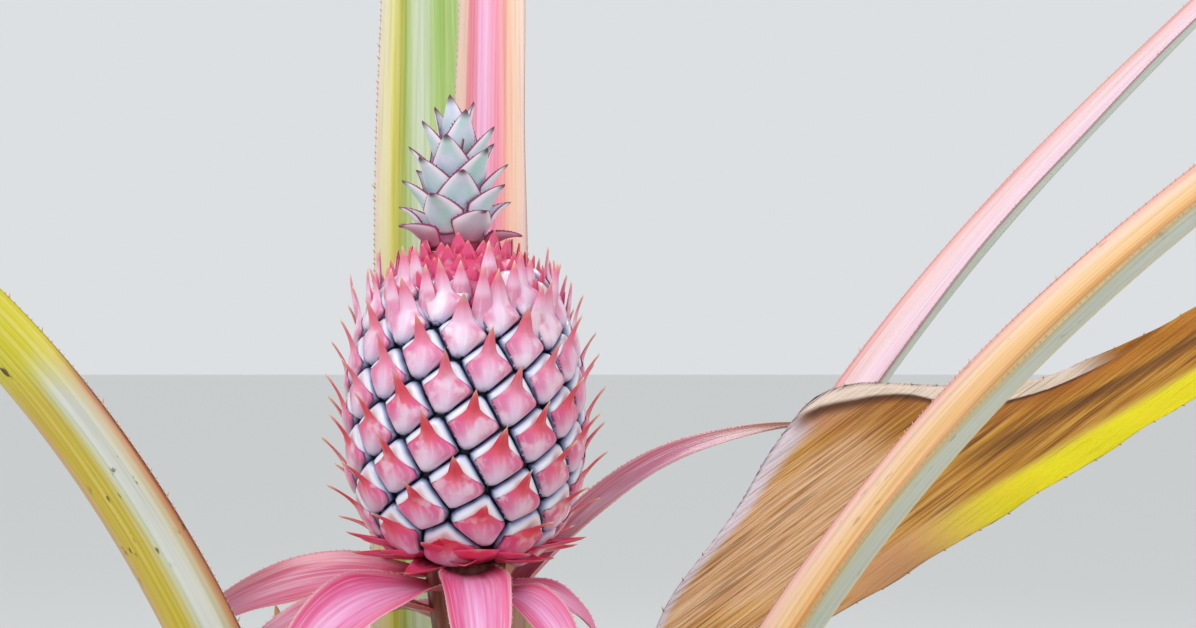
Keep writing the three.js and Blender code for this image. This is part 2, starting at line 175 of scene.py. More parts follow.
# Where a ring's points lie across a blade, from one margin to the other
ACROSS, ACROSS_FEW = (np.array([*half, 0, *(-u for u in half[::-1])]) for half in (
    (1, 0.96, 0.88, 0.75, 0.6, 0.45, 0.3, 0.15), (1, 0.9, 0.75, 0.5, 0.25)))

# The camera, at the photograph's angle, and the width that it shows at the plant's axis
CAMERA_PLACE = (49, -900, 521)
VIEW_WIDTH = 442.5
SENSOR_WIDTH = 36
# Where the lights point, in metres
LIGHT_AIM = (0, 0, 0.5)

chance = np.random.default_rng(7)


def mix(a, b, t):
    """The value a share t of the way from a to b."""
    return a + (b - a) * t


def smoothstep(x):
    """0 below 0, 1 above 1, and an S-shaped curve between."""
    x = np.clip(x, 0, 1)
    return x * x * (3 - 2 * x)


def direction(lean, heading):
    """Unit vectors that lean from the upright towards a heading."""
    lean, heading = np.radians(np.broadcast_arrays(lean, heading))
    return np.stack([np.sin(lean) * np.cos(heading), np.sin(lean) * np.sin(heading), np.cos(lean)], -1)


def spot(heading, radius, height):
    """The point at a heading and a radius from the plant's axis, at a height."""
    return direction(90, heading) * radius + [0, 0, height]


def unit(vectors):
    """Vectors scaled to length 1."""
    return vectors / np.maximum(np.linalg.norm(vectors, axis=-1, keepdims=True), 1e-9)


class Surface:
    """Points, faces and the two maps of one mesh, gathered shell by shell."""

    def __init__(self):
        self.points, self.share, self.faces, self.map, self.kinds = [], [], [], [], []
        self.count = 0

    def add(self, points, share, faces, face_map, kind=0):
        """Adds a shell: points in mm, each with a share, and lists of faces with the map at their corners."""
        for corners, corner_map in zip(faces, face_map):
            self.faces += (corners + self.count).tolist()
            self.map.append(corner_map.reshape(-1, 2))
            self.kinds.append(np.full(len(corners), kind))
        self.points.append(points)
        self.share.append(np.broadcast_to(share, len(points)))
        self.count += len(points)

    def add_blade(self, rings, tip, round_map, along, share, kind=0):
        """Closes a blade: four-sided faces join its rings, one face closes its base, and a fan meets at its
        tip. The map runs by round_map round a ring and by along from the base to the tip."""
        rows, count, _ = rings.shape
        index = np.arange(rows * count).reshape(rows, count)
        beside = np.roll(index, -1, axis=1)
        quads = np.stack([index[:-1], beside[:-1], beside[1:], index[1:]], -1).reshape(-1, 4)
        u, v = np.meshgrid(round_map, along[:rows])
        grid = np.stack([u, v], -1)
        quad_map = np.stack([grid[:-1, :-1], grid[:-1, 1:], grid[1:, 1:], grid[1:, :-1]], 2)
        fan = np.stack([index[-1], beside[-1], np.full(count, rows * count)], -1)
        end = np.stack([(round_map[:-1] + round_map[1:]) / 2, np.full(count, along[rows])], -1)
        fan_map = np.stack([grid[-1, :-1], grid[-1, 1:], end], 1)
        base = index[0][::-1][None]
        base_map = grid[0, :-1][::-1][None]
        points = np.concatenate([rings.reshape(-1, 3), tip[None]])
        shares = np.append(np.repeat(share[:rows], count), share[rows])
        self.add(points, shares, [quads, fan, base], [quad_map, fan_map, base_map], kind)

    def make(self, name, slot, materials, nodes=(), smooth=True):
        """Makes the mesh object, which rides on the plant and stands for the nodes that it replaces."""
        mesh = bpy.data.meshes.new(name)
        mesh.from_pydata((np.concatenate(self.points) * MM).tolist(), [], self.faces)
        mesh.uv_layers.new(name="blade").uv.foreach_set("vector", np.concatenate(self.map).ravel())
        mesh.attributes.new("share", "FLOAT", "POINT").data.foreach_set("value", np.concatenate(self.share))
        mesh.polygons.foreach_set("material_index", np.concatenate(self.kinds))
        mesh.polygons.foreach_set("use_smooth", np.full(len(self.faces), smooth))
        for material in materials:
            mesh.materials.append(material)
        mesh.update()
        piece = bpy.data.objects.new(name, mesh)
        bpy.context.collection.objects.link(piece)
        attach(piece, "root")
        if nodes:
            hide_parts(*nodes)


def blade(start, length, shape, rows, across, relief=None):
    """Rings round a curved blade, and its tip. The keel sets off from start and turns by the lean and heading
    of shape(t). A ring is an arc round the keel, half_width to each side, that turns through the channel
    angle and opens towards the stalk. A flap widens its first half by u squared. Its underside lies deeper by
    thickness times (1 - u squared) to the power 0.6. relief(t, u) moves points along the arc's normal."""
    def shape_at(t):
        values = {"roll": 0, "flap": 0, **shape(t)}
        return {key: value + 0 * t for key, value in values.items()}

    t = np.arange(rows) / rows
    at = shape_at(t)
    middle = shape_at((np.arange(rows) + 0.5) / rows)
    steps = direction(middle["lean"], middle["heading"]) * length / rows
    keel = start + np.concatenate([np.zeros((1, 3)), np.cumsum(steps, 0)])
    along = direction(at["lean"], at["heading"])
    heading, roll = np.radians(at["heading"]), np.radians(at["roll"])[:, None]
    level = np.stack([-np.sin(heading), np.cos(heading), 0 * heading], -1)
    side = level * np.cos(roll) + np.cross(along, level) * np.sin(roll)
    inward = np.cross(along, side)
    u = np.concatenate([across, across[-2:0:-1]])
    under = np.arange(len(u)) >= len(across)
    depth = np.where(under, np.outer(at["thickness"], (1 - u ** 2) ** 0.6), 0)
    if relief is not None:
        depth = depth - relief(t[:, None], u[None, :])
    radius = (at["half_width"] / at["channel"])[:, None]
    angle = np.outer(at["channel"], u)
    sideways = (radius + depth) * np.sin(angle) + np.outer(at["flap"], np.maximum(0, u) ** 2)
    upward = radius - (radius + depth) * np.cos(angle)
    rings = keel[:rows, None] + side[:, None] * sideways[..., None] + inward[:, None] * upward[..., None]
    return rings, keel[-1]


def round_map_of(across):
    """The map's u round a ring: 0 to 1 across the upper side, then 1 to 2 back below."""
    upper = (1 - across) / 2
    return np.concatenate([upper, 2 - upper[-2::-1]])


def add_leaf(surface, start, length, shape, rows, across, map_unit, relief=None):
    """Adds a blade whose map counts map_unit along it as 1, and gives its rings."""
    rings, tip = blade(start, length, shape, rows, across, relief)
    share = np.arange(rows + 1) / rows
    surface.add_blade(rings, tip, round_map_of(across), share * length / map_unit, share)
    return rings


def colour(code):
    """A colour's linear numbers, as shaders use them, from its six-figure code."""
    parts = np.array([int(code[i:i + 2], 16) for i in (0, 2, 4)]) / 255
    linear = np.where(parts <= 0.04045, parts / 12.92, ((parts + 0.055) / 1.055) ** 2.4)
    return (*linear.tolist(), 1)


class Value:
    """An output of a material's nodes. Arithmetic on it adds Math nodes."""

    def __init__(self, tree, socket):
        self.tree, self.socket = tree, socket

    def node(self, kind, settings=(), inputs=(), output=0):
        """Adds a node: its settings, or a ramp's stops, first, then the values or links of its sockets."""
        made = self.tree.nodes.new(kind)
        for name, value in dict(settings).items():
            if name == "stops":
                elements = made.color_ramp.elements
                for _ in range(len(value) - len(elements)):
                    elements.new(1)
                for element, (place, code) in zip(elements, value):
                    element.position = place
                    element.color = colour(code) if isinstance(code, str) else (code, code, code, 1)
            else:
                setattr(made, name, value)
        for name, value in dict(inputs).items():
            if isinstance(value, Value):
                self.tree.links.new(value.socket, made.inputs[name])
            else:
                made.inputs[name].default_value = value
        return Value(self.tree, made.outputs[output])

    def math(self, operation, *operands):
        """Adds a Math node."""
        return self.node("ShaderNodeMath", {"operation": operation}, enumerate(operands))

    def __add__(self, other):
        return self.math("ADD", self, other)

    def __sub__(self, other):
        return self.math("SUBTRACT", self, other)

    def __rsub__(self, other):
        return self.math("SUBTRACT", other, self)

    def __mul__(self, other):
        return self.math("MULTIPLY", self, other)

    __radd__ = __add__
    __rmul__ = __mul__

    def between(self, low, high):
        """0 below low, 1 above high, smooth between."""
        inputs = {"Value": self, "From Min": low, "From Max": high}
        return self.node("ShaderNodeMapRange", {"interpolation_type": "SMOOTHSTEP"}, inputs)

    def ramp(self, stops):
        """Colours, or plain numbers, between stops: a dictionary by place, or pairs."""
        pairs = stops.items() if isinstance(stops, dict) else stops
        return self.node("ShaderNodeValToRGB", {"stops": pairs}, {"Fac": self})

    def blend(self, first, second, how="MIX"):
        """Mixes two colours by this value."""
        first, second = (colour(c) if isinstance(c, str) else c for c in (first, second))
        settings = {"data_type": "RGBA", "blend_type": how}
        return self.node("ShaderNodeMix", settings, {0: self, 6: first, 7: second}, output=2)


class Finish:
    """A material with one Principled shader. Its plain numbers are set on the shader itself."""

    def __init__(self, name, roughness, **plain):
        self.material = bpy.data.materials.new(name)
        self.material.use_nodes = True
        self.tree = self.material.node_tree
        self.shader = self.tree.nodes["Principled BSDF"]
        self.shader.inputs["Roughness"].default_value = roughness
        for key, value in plain.items():
            self.shader.inputs[key.replace("_", " ").title()].default_value = value
        self.any = Value(self.tree, None)

    def place(self):
        """The place on the object, in metres."""
        return self.any.node("ShaderNodeTexCoord", output=3)

    def map(self):
        """Where the blade's map puts a point: across and along."""
        return self.any.node("ShaderNodeUVMap", {"uv_map": "blade"})

    def share(self):
        """How far along a blade, or out from a fruitlet's middle, a point lies."""
        return self.any.node("ShaderNodeAttribute", {"attribute_name": "share"}, output=2)

    def across(self):
        """How far across a blade: 0 to 1 on its upper side, then 1 to 2 back below."""
        return self.any.node("ShaderNodeSeparateXYZ", (), {0: self.map()})

    def bands(self, upper, under, drift=0):
        """Colours by how far across a blade's upper side, and then its underside, a point lies."""
        stops = [(place / 2, code) for place, code in upper.items()]
        stops += [(0.5 + place / 2, code) for place, code in under.items()]
        return (self.across() * 0.5 + drift).ramp(stops)

    def noise(self, where, scale, detail=2):
        """Noise, which is stretched where its scale is three numbers."""
        if isinstance(scale, tuple):
            where = self.any.node("ShaderNodeMapping", (), {"Vector": where, "Scale": scale})
            scale = 1
        return self.any.node("ShaderNodeTexNoise", (), {"Vector": where, "Scale": scale, "Detail": detail})

    def paint(self, base, bump, strength, distance):
        """Joins the base colour and the bump to the shader, and gives the material."""
        self.tree.links.new(base.socket, self.shader.inputs["Base Color"])
        inputs = {"Height": bump, "Strength": strength, "Distance": distance}
        normal = self.any.node("ShaderNodeBump", (), inputs)
        self.tree.links.new(normal.socket, self.shader.inputs["Normal"])
        return self.material


def flat_finish(name, roughness, base):
    """A material of one colour, for the spines, which are too small to show a pattern, and the floor."""
    finish = Finish(name, roughness)
    finish.shader.inputs["Base Color"].default_value = base
    return finish.material


def leaf_finish(name, upper, under, foot, tip, spots=0, turning=None):
    """A leaf's material. Bands of colour run its whole length, by how far across they lie on its upper side
    and below. The colours foot and tip take over at its two ends. Fine ribs and streaks run along it,
    dark flecks lie scattered where spots is above 0, and turning names a colour that takes over between two
    shares of its length."""
    finish = Finish("leaf " + name, 0.5, coat_weight=0.1, coat_roughness=0.4)
    where = finish.map()
    share = finish.share()
    drift = finish.noise(where, (1.5, 0.35, 1)) - 0.5
    base = finish.bands(upper, under, drift * 0.02)
    if turning:
        code, first, last = turning
        patchy = finish.noise(where, (4, 0.8, 1), 3) - 0.5
        base = (share + patchy * 0.06).between(first, last).blend(base, code)
    streaks = finish.noise(where, (34, 0.5, 1), 3)
    lighter = (streaks.between(0.4, 0.75) * 0.2).blend(base, "fffaf0")
    darker = (streaks.between(0.55, 0.25) * 0.2).blend(lighter, "77783c", "MULTIPLY")
    footed = share.between(0.26, 0.04).blend(darker, foot)
    blotches = finish.noise(where, (3.2, 1.1, 1), 4)
    painted = (share.between(0.86, 1) * blotches.between(0.3, 0.55)).blend(footed, tip)
    if spots:
        flecks = finish.noise(where, (16, 5, 1), 3)
        patches = finish.noise(where, (2, 1.2, 1)).between(0.5, 0.62)
        painted = (flecks.between(0.62, 0.68) * patches * spots).blend(painted, "5a4310")
    finer = finish.noise(where, (60, 1.2, 1))
    return finish.paint(painted, finer + streaks, 0.35, 0.0006)


GREEN_UNDER = {
    0: "cdb08c", 0.06: "8f9a72", 0.3: "a4b096", 0.5: "86966e", 0.75: "aab59c", 0.95: "8f9a72", 1: "c99c7c"}
LEAF_TONES = {
    "green": dict(
        upper={0: "d99c78", 0.04: "d8ac54", 0.12: "a8b63c", 0.3: "5f9034", 0.5: "7ca648", 0.7: "5a8c36",
            0.88: "a6b43e", 0.96: "d49a54", 1: "c97e64"},
        under=GREEN_UNDER, foot="cdbf98", tip="b0583c"),
    "tall gold": dict(
        # Painted highlight: the pale band from 0.25 to 0.38 stands for a highlight along the leaf.
        upper={0: "f8dcc8", 0.02: "fff0d8", 0.06: "fff6c8", 0.115: "fbf2a4", 0.14: "e8de60", 0.18: "c8c440",
            0.21: "aec050", 0.25: "c4d698", 0.31: "dae6cc", 0.38: "d2e0b8", 0.42: "b2d078", 0.5: "a8c868",
            0.7: "bcd098", 0.88: "dcd688", 1: "f0d8b4"},
        under=GREEN_UNDER, foot="e9cfb4", tip="c07a4a"),
    "tall rose": dict(
        # Painted highlight: the pale lilac band from 0.33 to 0.4 stands for the sky's reflection along the
        # channel.
        upper={0: "f8e0cc", 0.03: "fdeadc", 0.16: "fcdcc8", 0.2: "f48c9e", 0.27: "f694aa", 0.33: "fcb4de",
            0.4: "fec6ee", 0.46: "fba2c6", 0.55: "fb98b2", 0.63: "fbb4a8", 0.7: "fed6b8", 0.82: "ffe6cc",
            0.92: "fff0e6", 1: "f0cfc0"},
        under=GREEN_UNDER, foot="f0cfc4", tip="c8604c"),
    "arching gold": dict(
        upper={0: "b98252", 0.05: "cda868", 0.16: "cfc6a0", 0.4: "c6c9be", 0.6: "bfc29c", 0.72: "bcb442",
            0.9: "c2aa34", 1: "c29a5a"},
        under={0: "c29a5a", 0.2: "cdaa50", 0.46: "e0b070", 0.5: "dcb828", 0.64: "dabf2a", 0.7: "d2b838",
            0.735: "cfc270", 0.77: "d6d8b8", 0.8: "dedfdc", 0.87: "dad8d2", 0.905: "d4d0b4",
            0.945: "d2b48a", 0.97: "c8854c", 0.99: "a8552e", 1: "944a2a"},
        foot="cfc49a", tip="a86a3c", spots=1, turning=("e0d228", 0.43, 0.475)),
    "peach": dict(
        upper={0: "f2aaa0", 0.03: "f9c8b8", 0.08: "fcd6b8", 0.14: "fad29c", 0.2: "f6c888", 0.25: "f0ba74",
            0.285: "dc9c58", 0.32: "c8a058", 0.5: "cdb060", 0.8: "e6b884", 1: "e0b898"},
        under={0: "d8b080", 0.03: "ccbc94", 0.065: "d2d2c2", 0.15: "d6d8d2", 0.22: "d6d4c8", 0.3: "e4dcc0",
            0.36: "f0e2c0", 0.6: "c4bc9c", 0.9: "c0baa4", 1: "ddc8a8"},
        foot="d8cfa0", tip="c06a4a", spots=0.3),
    "pink": dict(
        upper={0: "ee9a98", 0.03: "f6b8b4", 0.1: "fcd8d6", 0.3: "fde0ea", 0.42: "fad8e8", 0.6: "efc2d4",
            0.9: "e8b0bc", 1: "c88c98"},
        under={0: "a87886", 0.03: "b096a0", 0.06: "ccd6c6", 0.18: "d4dccc", 0.25: "b8b0a8", 0.32: "a07684",
            0.6: "b8beb0", 0.9: "b0b4a8", 1: "cfb4b0"},
        foot="e6c8c0", tip="c85a5a"),
}


def dried_finish():
    """The dried leaf: tan and ochre, in fine wrinkles that run on one slant, then amber with a brown line
    past its flap. It is yellow along its lower margin, lilac white along its left one, and has a pale lip
    over a dark crease along its flap. The crease's dark, the brown under the flap and the darkening in the
    folds are painted shade."""
    finish = Finish("leaf dried", 0.62, coat_weight=0.05, coat_roughness=0.5)
    slanted = finish.any.node("ShaderNodeMapping", (), {
        "Vector": finish.place(), "Rotation": (0, math.radians(36), 0)})
    wrinkles = finish.noise(slanted, (26, 80, 1100), 4)
    folds = finish.noise(slanted, (18, 60, 260), 3)
    broad = finish.noise(slanted, (9, 26, 34), 3)
    tan = wrinkles.ramp({0.3: "a66c42", 0.4: "cc9662", 0.52: "e2b084", 0.7: "f0cca8"})
    rich = wrinkles.ramp({0.3: "90581c", 0.4: "bc822e", 0.52: "d69c48", 0.7: "e4b874"})
    amber = wrinkles.ramp({0.3: "7c4810", 0.4: "a46818", 0.52: "c48424", 0.7: "d8a448"})
    share, across = finish.share(), finish.across()
    drift = (broad - 0.5) * 0.1
    drifted = across + drift
    face = broad.between(0.47, 0.6).blend(tan, rich)
    far = share.between(0.5, 0.56).blend(face, amber)
    top = (share.between(0.56, 0.64) * (1 - drifted.between(0.2, 0.34)) * 0.6).blend(far, "cc7a1c")
    line = share.between(0.54, 0.6) * drifted.between(0.3, 0.36)
    lined = (line * (1 - drifted.between(0.38, 0.5)) * 0.75).blend(top, "6a3a0c")
    # Painted shade: the leaf darkens in the hollows of its folds.
    fold_shaded = (folds.between(0.42, 0.32) * 0.4).blend(lined, "6e3e18")
    low = drifted.between(0.62, 0.76) * (1 - across.between(1, 1.02))
    peach = (low * share.between(0.44, 0.5)).blend(fold_shaded, "dca070")
    bright = broad.between(0.45, 0.66).blend("fff000", "f4cc28")
    yellow = (low * share.between(0.5, 0.58)).blend(peach, bright)
    pale = share.between(0.3, 0.36) * (1 - share.between(0.49, 0.51))
    left = (pale * (1 - (across + drift * 0.3).between(0.03, 0.07))).blend(yellow, "e2d2dc")
    flap = share.between(0.485, 0.505) * (1 - share.between(0.63, 0.67))
    inner = across + drift * 0.3 - share.between(0.49, 0.53) * 0.03 - share.between(0.55, 0.59) * 0.08
    # Painted shade: brown under the curled flap, and a dark crease under its lip.
    shaded = (flap * (1 - inner.between(0, 0.16)) * 0.6).blend(left, "a8602a")
    crease = (flap * (1 - inner.between(0.015, 0.04))).blend(shaded, "5e3010")
    lip = (flap * inner.between(0.012, 0)).blend(crease, "f4dccc")
    below = across.between(1, 1.02).blend(lip, wrinkles.between(0.3, 0.7).blend("b08a5c", "dcbc98"))
    return finish.paint(below, wrinkles + folds, 0.8, 0.0014)


LEAF_FINISHES = {name: leaf_finish(name, **tone) for name, tone in LEAF_TONES.items()}
LEAF_FINISHES["dried"] = dried_finish()


def plain_finish(name, low, high, scale, roughness):
    """A mottled material: one colour drifts to another over patches of a size."""
    finish = Finish(name, roughness)
    patches = finish.noise(finish.place(), scale, 4)
    return finish.paint(patches.between(0.35, 0.65).blend(low, high), patches, 0.2, 0.0005)


def stem_radius(z):
    """The stem's radius at a height: flared at the foot by the square of how far below the flare's top it
    lies, straight above that, then narrowing to the stalk in an S-shaped curve."""
    flare = FOOT_FLARE * np.maximum(0, 1 - z / FOOT_HEIGHT) ** 2
    shoulder = smoothstep((z - STEM_SHOULDER) / (STEM_HEIGHT - STEM_SHOULDER))
    return mix(STEM_RADIUS, STEM_TOP_RADIUS, shoulder) + flare


def stalk_radius(z):
    """The stalk's radius at a height: it starts as wide as the stem's top and widens again under the fruit,
    both in S-shaped curves."""
    head = smoothstep((z - FRUIT_BASE) / STALK_FLARE + 1)
    foot = 1 - smoothstep((z - STEM_HEIGHT) / STALK_TAPER)
    return mix(mix(STALK_RADIUS, STALK_HEAD_RADIUS, head), STEM_TOP_RADIUS, foot)


def leaf_rule(n):
    """How leaf n grows, by its youth from 0 to 1: older leaves start lower and lean further, and the youngest
    are still short. Those that head for the front open a little more, by the square of a cosine."""
    youth = n / (LEAF_COUNT - 1)
    heading = LEAF_SPIRAL_START + n * GOLDEN_ANGLE
    opening = youth * max(0, math.cos(math.radians(heading - FRONT))) ** 2
    grown = mix(LEAF_FIRST_LENGTH, LEAF_FULL_LENGTH, smoothstep(youth / 0.4))
    length = grown * mix(1, 0.22, smoothstep((youth - 0.45) / 0.3))
    rule = dict(
        heading=heading, height=mix(LEAF_FIRST_HEIGHT, LEAF_LAST_HEIGHT, youth), length=length,
        lean=8 + 62 * (1 - youth) + 10 * opening, bend=34 + 26 * math.sin(n * 1.7) + 30 * opening, droop=0,
        bend_at=0.55, bend_span=0.9, width=mix(28, 58, smoothstep(length / 700)), base_width=40,
        widen_by=0.22, channel=1, roll=0, roll_by=1, flap=0, flap_at=0.5, flap_span=0.1,
        sway=8 * math.sin(n * 2.3), tone="green",
    )
    return {**rule, **LEAF_CHANGES.get(n, {})}


def leaf_shape(rule):
    """How a leaf runs at shares t of its length. It bends in an S-shaped curve centred on bend_at, droops by
    t to the power 4 and sways evenly. It widens from its clasping base and narrows by 1 less t to the power
    3.2, and its flap grows and fades in a bell curve."""
    clasp = stem_radius(rule["height"]) + 2
    base_half = min(rule["base_width"], 0.84 * rule["width"]) / 2

    def shape(t):
        bent = smoothstep((t - rule["bend_at"]) / rule["bend_span"] + 0.5)
        widening = smoothstep(t / rule["widen_by"])
        return dict(
            lean=rule["lean"] + rule["bend"] * bent + rule["droop"] * t ** 4,
            heading=rule["heading"] + rule["sway"] * t,
            roll=rule["roll"] * smoothstep(t / rule["roll_by"]),
            half_width=mix(base_half, rule["width"] / 2, widening) * (1 - t ** 3.2),
            channel=mix(base_half / clasp, rule["channel"], widening),
            thickness=LEAF_KEEL * rule["length"] * mix(0.7, 1, widening) * (1 - 0.6 * t),
            flap=rule["flap"] * np.exp(-((t - rule["flap_at"]) / rule["flap_span"]) ** 2),
        )
    return shape


def spines(surface, margin, inner, pitch, size):
    """Adds the spines of one margin: three-sided points, pitch apart, that lean out and towards the tip. A
    few are twice as long."""
    reach = np.concatenate([[0], np.cumsum(np.linalg.norm(np.diff(margin, axis=0), axis=1))])
    count = int(reach[-1] / pitch)
    places = (np.arange(count) + 0.5 + chance.uniform(-0.25, 0.25, count)) * pitch

    def sampled(line):
        return np.stack([np.interp(places, reach, line[:, k]) for k in range(3)], -1)

    foot = sampled(margin)
    out = unit(sampled(unit(margin - inner)))
    along = unit(sampled(np.gradient(margin, axis=0)))
    normal = np.cross(along, out)
    fading = smoothstep((reach[-1] - places) / (0.1 * reach[-1]))
    longer = np.where(chance.random(count) < LONG_SPINE_SHARE, 2, 1)
    long = (size * chance.uniform(0.65, 1.2, count) * longer * fading + 0.15)[:, None]
    root = foot - out * 0.25
    half, thick = 0.32 + 0.1 * long, 0.2 + 0.05 * long
    corners = [root - along * half]
    corners += [root + along * half + normal * thick * side for side in (1, -1)]
    points = np.stack([*corners, root + out * long + along * long * 0.8], 1)
    index = np.arange(count)[:, None] * 4
    faces = np.concatenate([index + [0, 1, 3], index + [1, 2, 3], index + [2, 0, 3], index + [0, 2, 1]])
    surface.add(points.reshape(-1, 3), 0, [faces], [np.zeros((len(faces), 3, 2))])


def add_spines(surface, rings, pitch, size):
    """Adds the spines of both margins of a blade that has its points at ACROSS."""
    last = len(ACROSS) - 1
    for edge, inner in ((0, 1), (last, last - 1)):
        spines(surface, rings[:, edge], rings[:, inner], pitch, size)


def ragged(t, u):
    """The dried leaf's papery relief in mm: two sines along it, which grow with the square of how far from
    the keel they lie."""
    ripple = np.sin(t * 96 + u * 5) + 0.4 * np.sin(t * 181 - u * 7 + 2)
    return ripple * 0.8 * smoothstep(t / 0.3) * (0.35 + u ** 2)


def ribbed(t, u):
    """A fresh leaf's relief in mm: a sine along it, which grows with u to the power 4, so that only the
    margins wave."""
    return 0.5 * np.sin(t * 41 + 2 * np.sign(u)) * u ** 4 * smoothstep(t / 0.2)


def make_leaves():
    """Each leaf is a piece of its own, and the spines of each group of tones are one more."""
    spine_tones = {"green": "c8a070", "dried": "b08658", "rosy": "e6b4a0", "golden": "d6a878"}
    groups = {"tall rose": "rosy", "peach": "rosy", "pink": "rosy", "tall gold": "golden",
              "arching gold": "golden"}
    spined = {key: Surface() for key in spine_tones}
    for n in range(LEAF_COUNT):
        rule = leaf_rule(n)
        rows = int(rule["length"] / LEAF_ROW)
        inset = 1 + 8 * math.sin(math.radians(rule["lean"]))
        start = spot(rule["heading"], stem_radius(rule["height"]) - inset, rule["height"])
        tone = rule["tone"]
        relief = ragged if tone == "dried" else ribbed
        surface = Surface()
        rings = add_leaf(surface, start, rule["length"], leaf_shape(rule), rows, ACROSS, MAP_UNIT, relief)
        name = f"{'dried_' if tone == 'dried' else ''}leaf_{n + 1}"
        group = groups.get(tone, tone)
        nodes = [name + ending for ending in PIECE_ENDINGS[LEAF_PIECES.get(n + 1, 1)]]
        surface.make("fine_" + name, f"{group}_leaf", [LEAF_FINISHES[tone]], nodes)
        clear = int(rows * SPINELESS_SHARE)
        pitch = SPINE_PITCH * (5 if tone == "dried" else 1)
        add_spines(spined[group], rings[clear:], pitch, SPINE_LENGTH)
    for name, code in spine_tones.items():
        finish = flat_finish(f"{name} spines", 0.5, colour(code))
        spined[name].make(f"spines_of_{name}_leaves", f"{name}_leaf", [finish], smooth=False)


def turned(heights, radii, sides, ridges=0, ridge_count=0):
    """Rings of a turned solid: radius by height, with ridges running up it as a sine of the angle."""
    angle = np.radians(np.arange(sides) * 360 / sides)
    radius = radii[:, None] + ridges * np.sin(angle * ridge_count)[None]
    height = np.broadcast_to(heights[:, None], radius.shape)
    return np.stack([radius * np.cos(angle), radius * np.sin(angle), height], -1)


def add_turned(surface, rings, kind=0):
    """Closes a turned solid with a fan at the top and one face at the bottom."""
    rows, count, _ = rings.shape
    top = rings[-1].mean(0)
    share = np.linspace(0, 1, rows + 1)
    surface.add_blade(rings, top, np.linspace(0, 1, count + 1), share, share, kind)


def make_stem():
    """The stem, ringed by old leaf scars, and the ridged stalk."""
    heights = np.linspace(0, STEM_HEIGHT, 81)
    scars = SCAR_DEPTH * np.sin(heights * 2 * math.pi / SCAR_PITCH) * smoothstep(heights / 12)
    stem = Surface()
    add_turned(stem, turned(heights, stem_radius(heights) + scars - BARK_RIDGE, 64, BARK_RIDGE, 13))
    bark = Finish("stem bark", 0.85)
    rough = bark.noise(bark.place(), (60, 60, 240), 5)
    bark.paint(rough.ramp({0.3: "5c4a2c", 0.5: "8a7648", 0.7: "a8996c"}), rough, 0.8, 0.002)
    stem.make("fine_stem", "stem", [bark.material], ["stem"])
    heights = np.linspace(STEM_HEIGHT + GAP, FRUIT_BASE - GAP, 70)
    stalk = Surface()
    add_turned(stalk, turned(heights, stalk_radius(heights) - STALK_RIDGE, 48, STALK_RIDGE, 12))
    skin = Finish("stalk skin", 0.55, coat_weight=0.1)
    grain = skin.noise(skin.place(), (420, 420, 24), 3)
    skin.paint(grain.ramp({0.3: "6a2c26", 0.5: "8a4a40", 0.7: "a87060"}), grain, 0.5, 0.0008)
    stalk.make("fine_stalk", "stalk", [skin.material], ["stalk"])


def bract_finish(name, upper, under, foot, tip):
    """A collar bract: pink, streaked along, with painted highlights as whiter streaks, and darker at its tip.
    """
    finish = Finish("collar " + name, 0.36, coat_weight=0.3, coat_roughness=0.25)
    where = finish.map()
    bands = finish.bands(upper, under)
    streaks = finish.noise(where, (20, 1.2, 1), 3)
    # Painted highlight: near-white streaks stand for gloss on the bract.
    highlight_streaked = (streaks.between(0.45, 0.75) * 0.5).blend(bands, "fbdcee")
    deep = (streaks.between(0.5, 0.25) * 0.5).blend(highlight_streaked, "d83a74")
    share = finish.share()
    footed = share.between(0.22, 0.02).blend(deep, foot)
    tipped = share.between(0.55, 0.95).blend(footed, tip)
    return finish.paint(tipped, streaks, 0.4, 0.0008)


def make_collar():
    """The collar's bracts, each narrow at the stalk, widest at a third of its length and arching down. Their
    relief is long pleats, and waves that grow towards the margins."""
    pink = {0: "f3c4cf", 0.06: "ec6f9c", 0.3: "ea86ba", 0.55: "f2a6d6", 0.8: "e3649c", 0.94: "e2457f",
        1: "f3c4cf"}
    dusky = {0: "f0b8c4", 0.08: "d8587a", 0.4: "e07ca2", 0.7: "d45c84", 1: "e8a0b0"}
    below = {0: "f0c0cc", 0.1: "d65c80", 0.5: "c95a74", 0.9: "d65c80", 1: "f0c0cc"}
    rosy = {0: "e8b0bc", 0.08: "cc6a80", 0.4: "c2708a", 0.7: "c47a98", 1: "e0a8a8"}
    finish = {
        "pink": bract_finish("pink", pink, below, "e25a86", "e88ab0"),
        "dusky": bract_finish("dusky pink", dusky, below, "d84a5a", "c98aa4"),
        "long": bract_finish("long pink", rosy, dusky, "d86a7c", "a5745c"),
    }
    edged = Surface()
    for i, bract in enumerate(COLLAR):
        def shape(t):
            return dict(
                lean=bract["lean"] + bract["bend"] * smoothstep(t),
                heading=bract["heading"],
                roll=bract["roll"] * smoothstep(t / 0.6),
                half_width=0.5 * bract["width"] * mix(0.7, 1, smoothstep(t / 0.35)) * (1 - t ** 2.8),
                channel=0.55,
                thickness=max(0.9, 0.008 * bract["length"]) * (1 - 0.5 * t),
            )

        def relief(t, u):
            pleats = 0.35 * np.sin(u * 11 + i) * smoothstep(t / 0.2) * (1 - t)
            return pleats + 0.5 * np.sin(t * 17 + i) * u ** 2

        start = spot(bract["heading"], stalk_radius(bract["height"]) - 4, bract["height"])
        rows = int(bract["length"] / COLLAR_ROW)
        surface = Surface()
        rings = add_leaf(surface, start, bract["length"], shape, rows, ACROSS, MAP_UNIT, relief)
        tone = finish[bract.get("tone", "pink")]
        surface.make(f"fine_collar_bract_{i + 1}", "collar", [tone], [f"collar_bract_{i + 1}"])
        add_spines(edged, rings[2:], COLLAR_SPINE_PITCH, COLLAR_SPINE_LENGTH)
    teeth = flat_finish("collar spines", 0.45, colour("f0a8a8"))
    edged.make("spines_of_collar", "collar", [teeth], smooth=False)


